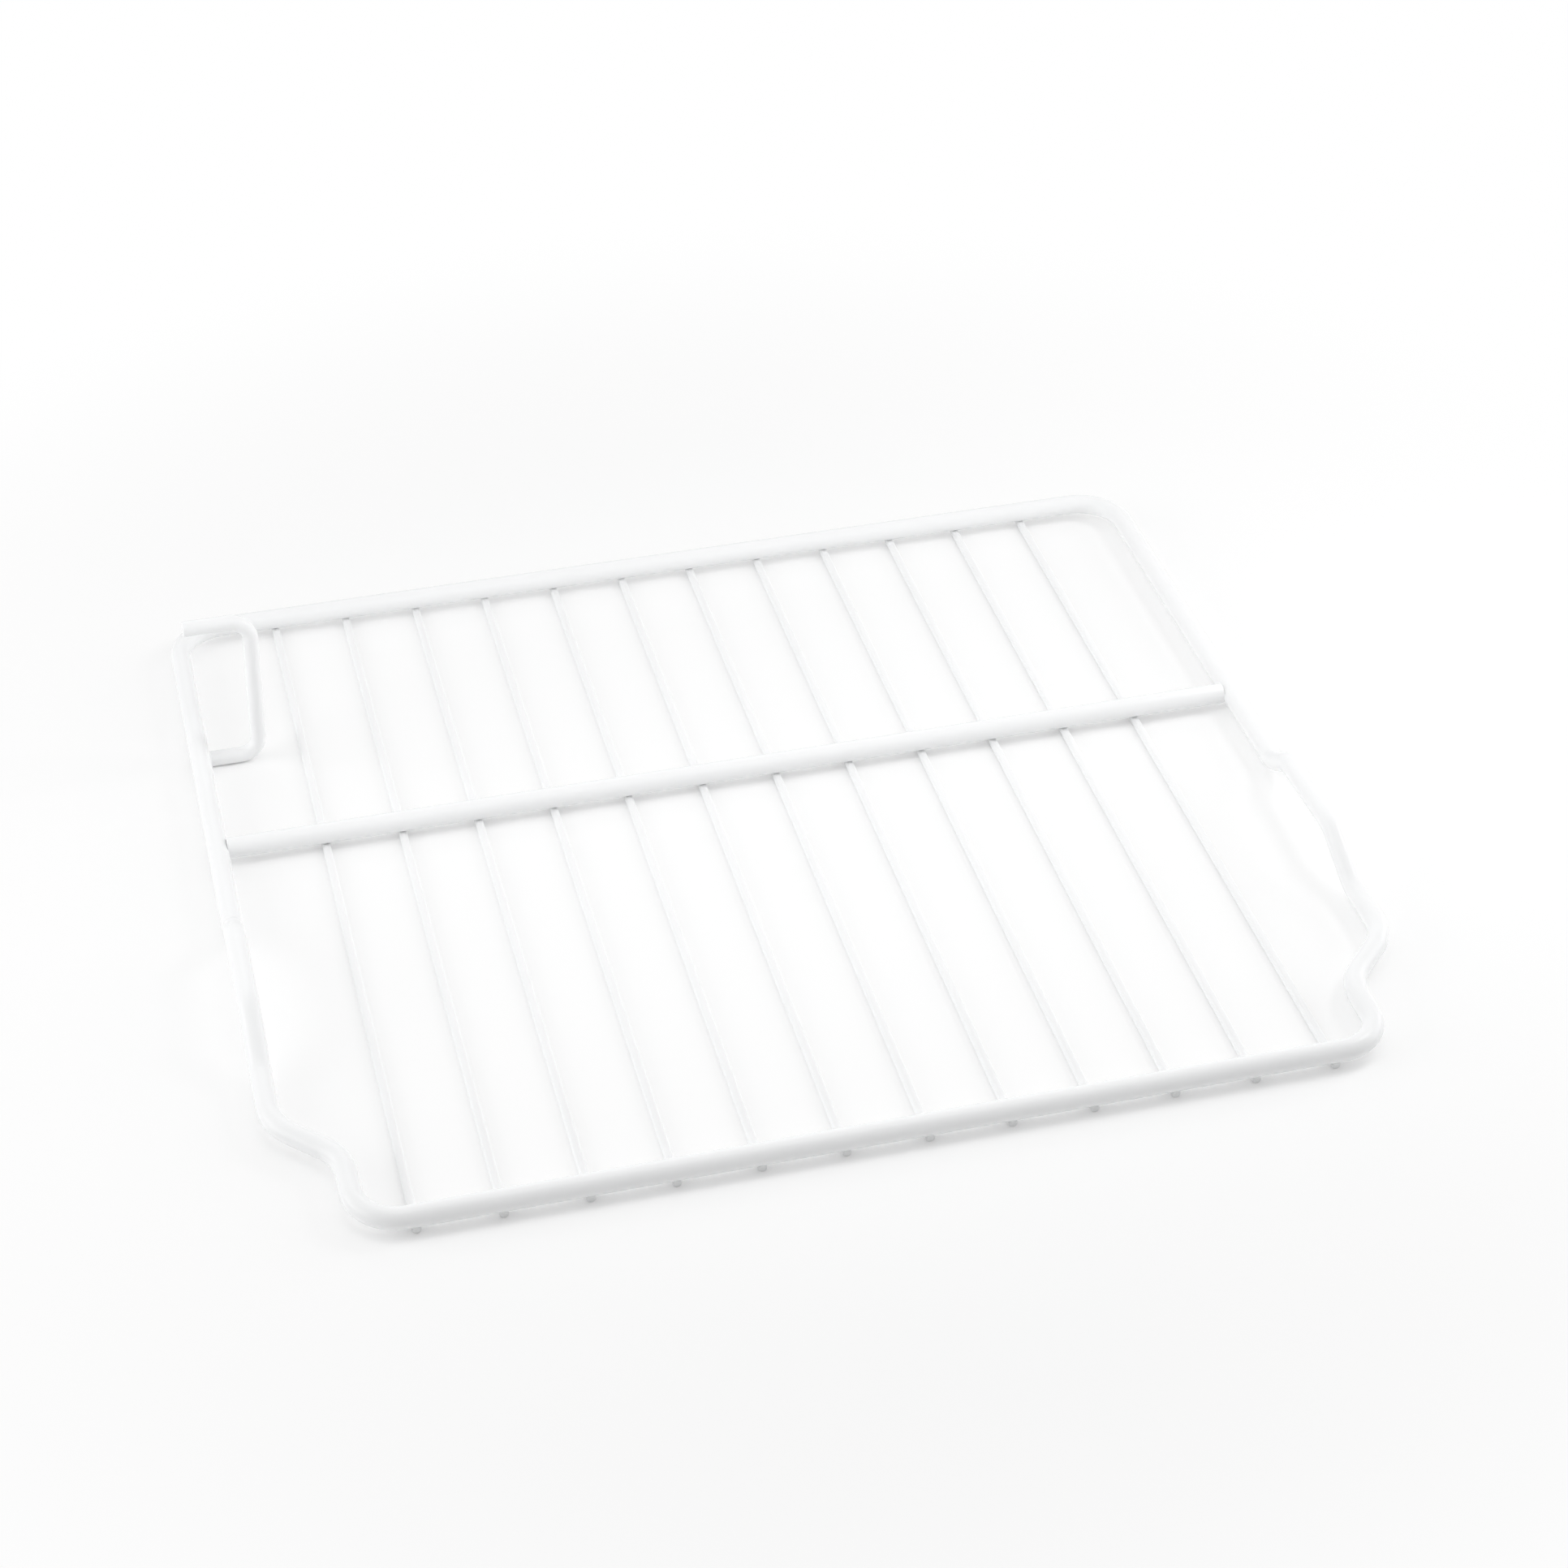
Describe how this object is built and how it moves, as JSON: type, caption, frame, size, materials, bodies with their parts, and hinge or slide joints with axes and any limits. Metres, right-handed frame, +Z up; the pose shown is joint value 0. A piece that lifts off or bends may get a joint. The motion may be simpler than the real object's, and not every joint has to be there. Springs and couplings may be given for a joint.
{
  "type": "freezer shelf",
  "caption": "White plastic-coated wire shelf for a freezer: a bent outer frame with arched sides, a crossbar, a row of thin grid wires and a standing loop at one back corner.",
  "frame": {"origin": "on the floor that the grid wires lie on, midway between the side wires and between the front and back rails", "axes": "+X to the right across the shelf, +Y from the front rail to the back rail, +Z up"},
  "size_m": [0.3928, 0.3604, 0.0646],
  "materials": {
    "coated_wire": "smooth glossy white plastic coat over steel wire"
  },
  "bodies": {
    "root": {"outer_frame": "coated_wire", "crossbar": "coated_wire", "grid_wire_01": "coated_wire", "grid_wire_02": "coated_wire", "grid_wire_03": "coated_wire", "grid_wire_04": "coated_wire", "grid_wire_05": "coated_wire", "grid_wire_06": "coated_wire", "grid_wire_07": "coated_wire", "grid_wire_08": "coated_wire", "grid_wire_09": "coated_wire", "grid_wire_10": "coated_wire", "grid_wire_11": "coated_wire", "grid_wire_12": "coated_wire", "corner_loop": "coated_wire"}
  },
  "joints": []
}
